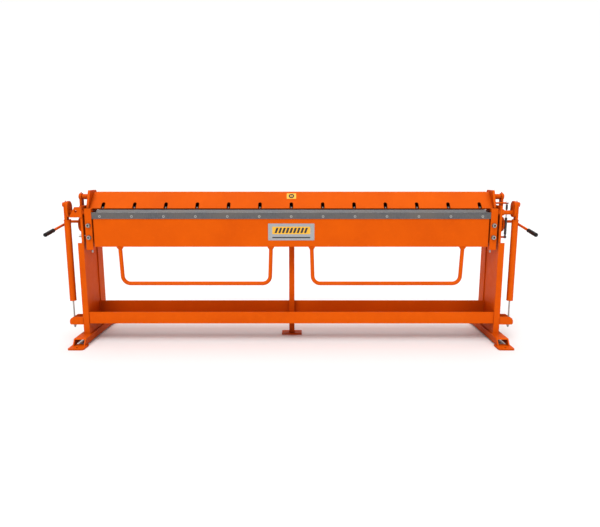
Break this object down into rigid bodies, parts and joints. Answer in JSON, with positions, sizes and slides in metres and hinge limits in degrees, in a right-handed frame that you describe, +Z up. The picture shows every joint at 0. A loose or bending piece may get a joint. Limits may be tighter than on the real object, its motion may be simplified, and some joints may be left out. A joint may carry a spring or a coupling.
{
  "type": "sheet metal brake",
  "caption": "Manual folding machine: steel stand, hanging bending leaf with two U handles, lever-worked clamp beam, spring balances and a gas strut.",
  "frame": {"origin": "on the floor, midway between the four anchor holes", "axes": "+X to the operator's right along the bend, +Y away from the operator, +Z up"},
  "size_m": [2.957, 0.7286, 0.985],
  "materials": {
    "orange_paint": "gloss orange enamel",
    "ground_steel": "ground",
    "zinc_steel": "zinc plated",
    "black_grip": "satin black",
    "spring_steel": "oiled",
    "plate_silver": "satin",
    "sign_yellow": "yellow film on metal",
    "strut_dark": "satin black",
    "strut_chrome": "hard chrome",
    "bush_bronze": "machined"
  },
  "bodies": {
    "stand": {"foot_plates": "orange_paint", "foot_rail_left": "orange_paint", "foot_rail_right": "orange_paint", "side_frame_left": "orange_paint", "side_frame_right": "orange_paint", "leg_doublers": "orange_paint", "cheek_plate_left": "orange_paint", "cheek_plate_right": "orange_paint", "pivot_bushes": "orange_paint", "shaft_bushes": "bush_bronze", "stop_bolt": "zinc_steel", "stop_bracket": "orange_paint", "tray": "orange_paint", "centre_post": "orange_paint", "centre_foot_plate": "orange_paint", "bed_beam": "orange_paint", "bed_blade": "ground_steel", "bed_blade_screws": "zinc_steel", "spring_brackets": "orange_paint", "strut_lower_stud": "orange_paint", "strut_cylinder": "strut_dark"},
    "leaf": {"bending_beam": "orange_paint", "bending_strip": "ground_steel", "strip_screws": "zinc_steel", "hinge_bar_left": "orange_paint", "hinge_bar_right": "orange_paint", "hinge_bolts": "zinc_steel", "adjusting_screws": "zinc_steel", "pivot_shafts": "orange_paint", "handle_left": "orange_paint", "handle_right": "orange_paint", "handle_collars": "orange_paint", "nameplate": "plate_silver", "balance_arms": "orange_paint", "balance_pins": "orange_paint"},
    "tube_left": {"hanger_strap_left": "orange_paint", "balance_tube_left": "orange_paint", "balance_spring_left": "spring_steel"},
    "tube_right": {"hanger_strap_right": "orange_paint", "balance_tube_right": "orange_paint", "balance_spring_right": "spring_steel"},
    "rod_left": {"balance_rod_left": "zinc_steel", "rod_nut_left": "zinc_steel"},
    "rod_right": {"balance_rod_right": "zinc_steel", "rod_nut_right": "zinc_steel"},
    "clamp": {"clamp_beam": "orange_paint", "clamp_end_plates": "orange_paint", "clamp_blade": "ground_steel", "clamp_blade_bolts": "zinc_steel", "sign_plate": "sign_yellow", "clamp_pins": "orange_paint", "link_straps": "orange_paint", "strut_upper_stud": "orange_paint", "strut_rod": "strut_chrome", "strut_end_socket": "strut_dark"},
    "levers": {"lever_shaft": "orange_paint", "eccentrics": "ground_steel", "lever_arms": "orange_paint", "grip_left": "black_grip", "grip_right": "black_grip"}
  },
  "joints": [
    {"name": "leaf_swing", "type": "hinge", "parent": "stand", "child": "leaf", "pos_m": [0, -0.143, 0.848], "axis": [-1, 0, 0], "range_deg": [0, 135]},
    {"name": "tube_left_tilt", "type": "hinge", "parent": "leaf", "child": "tube_left", "pos_m": [-1.429, -0.143, 0.898], "axis": [1, 0, 0], "range_deg": [0, 132.1]},
    {"name": "tube_right_tilt", "type": "hinge", "parent": "leaf", "child": "tube_right", "pos_m": [1.429, -0.143, 0.898], "axis": [1, 0, 0], "range_deg": [0, 132.1]},
    {"name": "rod_left_slide", "type": "slide", "parent": "tube_left", "child": "rod_left", "axis": [0, 0, 1], "range_m": [0, 0.0708], "deforming": ["balance_spring_left"]},
    {"name": "rod_right_slide", "type": "slide", "parent": "tube_right", "child": "rod_right", "axis": [0, 0, 1], "range_m": [0, 0.0708], "deforming": ["balance_spring_right"]},
    {"name": "lever_swing", "type": "hinge", "parent": "stand", "child": "levers", "pos_m": [0, -0.03, 0.78], "axis": [-1, 0, 0], "range_deg": [0, 90]},
    {"name": "clamp_lift", "type": "slide", "parent": "stand", "child": "clamp", "axis": [0, 0, 1], "range_m": [0, 0.03]}
  ],
  "couplings": [
    {"joint": "tube_left_tilt", "follows": "leaf_swing", "ratio": 0.978},
    {"joint": "tube_right_tilt", "follows": "leaf_swing", "ratio": 0.978},
    {"joint": "rod_left_slide", "follows": "leaf_swing", "m_per_rad": 0.03},
    {"joint": "rod_right_slide", "follows": "leaf_swing", "m_per_rad": 0.03},
    {"joint": "lever_swing", "follows": "clamp_lift", "rad_per_m": 52.35}
  ]
}
